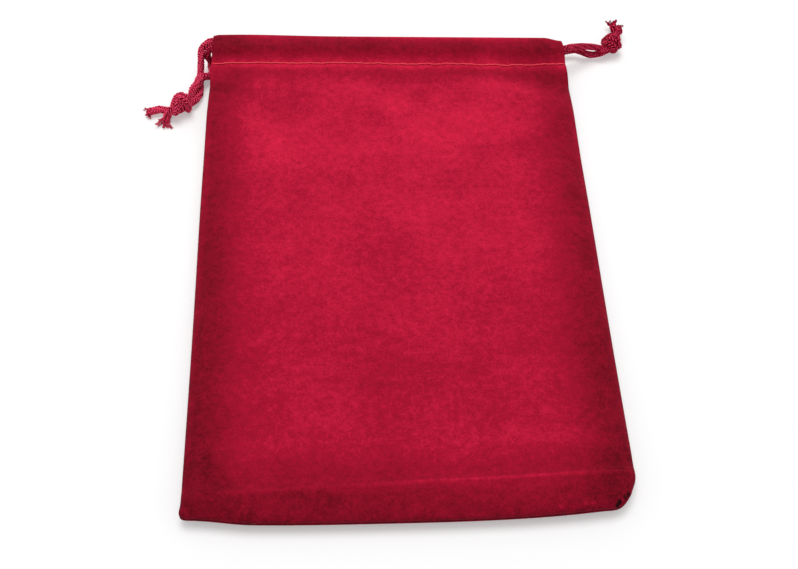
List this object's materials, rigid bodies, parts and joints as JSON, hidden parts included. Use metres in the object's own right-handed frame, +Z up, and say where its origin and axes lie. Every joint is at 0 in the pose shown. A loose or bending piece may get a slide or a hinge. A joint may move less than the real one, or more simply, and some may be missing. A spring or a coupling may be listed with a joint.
{
  "type": "drawstring bag",
  "caption": "Flat velour drawstring bag for dice: sewn panels, folded cord casings at the mouth, and knotted drawcords that pull out at both sides.",
  "frame": {"origin": "centre of the bag's outline on the surface it lies on, without the free cord ends", "axes": "+X across the bag, +Y from the bottom seam to the mouth, +Z up from the surface it lies on"},
  "size_m": [0.1766, 0.1958, 0.0127],
  "materials": {
    "velour": "deep red cut-pile velour with a soft nap",
    "velour_inside": "dull knitted back of the velour",
    "thread": "bright red twisted polyester thread",
    "cord": "satin braided cord in crimson"
  },
  "bodies": {
    "bag": {"front_panel": "velour", "back_panel": "velour", "front_casing": "velour", "back_casing": "velour", "left_seam_allowance": "velour_inside", "right_seam_allowance": "velour_inside", "bottom_seam_allowance": "velour_inside", "front_casing_stitch": "thread", "back_casing_stitch": "thread", "left_seam_stitch": "thread", "right_seam_stitch": "thread", "bottom_seam_stitch": "thread", "left_cord_turn": "cord", "right_cord_turn": "cord"},
    "left_cord": {"left_cord_front_run": "cord", "left_cord_back_run": "cord", "left_cord_front_end": "cord", "left_cord_back_end": "cord", "left_knot": "cord", "left_frayed_tips": "cord"},
    "right_cord": {"right_cord_front_run": "cord", "right_cord_back_run": "cord", "right_cord_front_end": "cord", "right_cord_back_end": "cord", "right_knot": "cord", "right_frayed_tips": "cord"}
  },
  "joints": [
    {"name": "left_cord_pull", "type": "slide", "parent": "bag", "child": "left_cord", "axis": [-1, 0, 0], "range_m": [0, 0.095]},
    {"name": "right_cord_pull", "type": "slide", "parent": "bag", "child": "right_cord", "axis": [1, 0, 0], "range_m": [0, 0.095]}
  ]
}
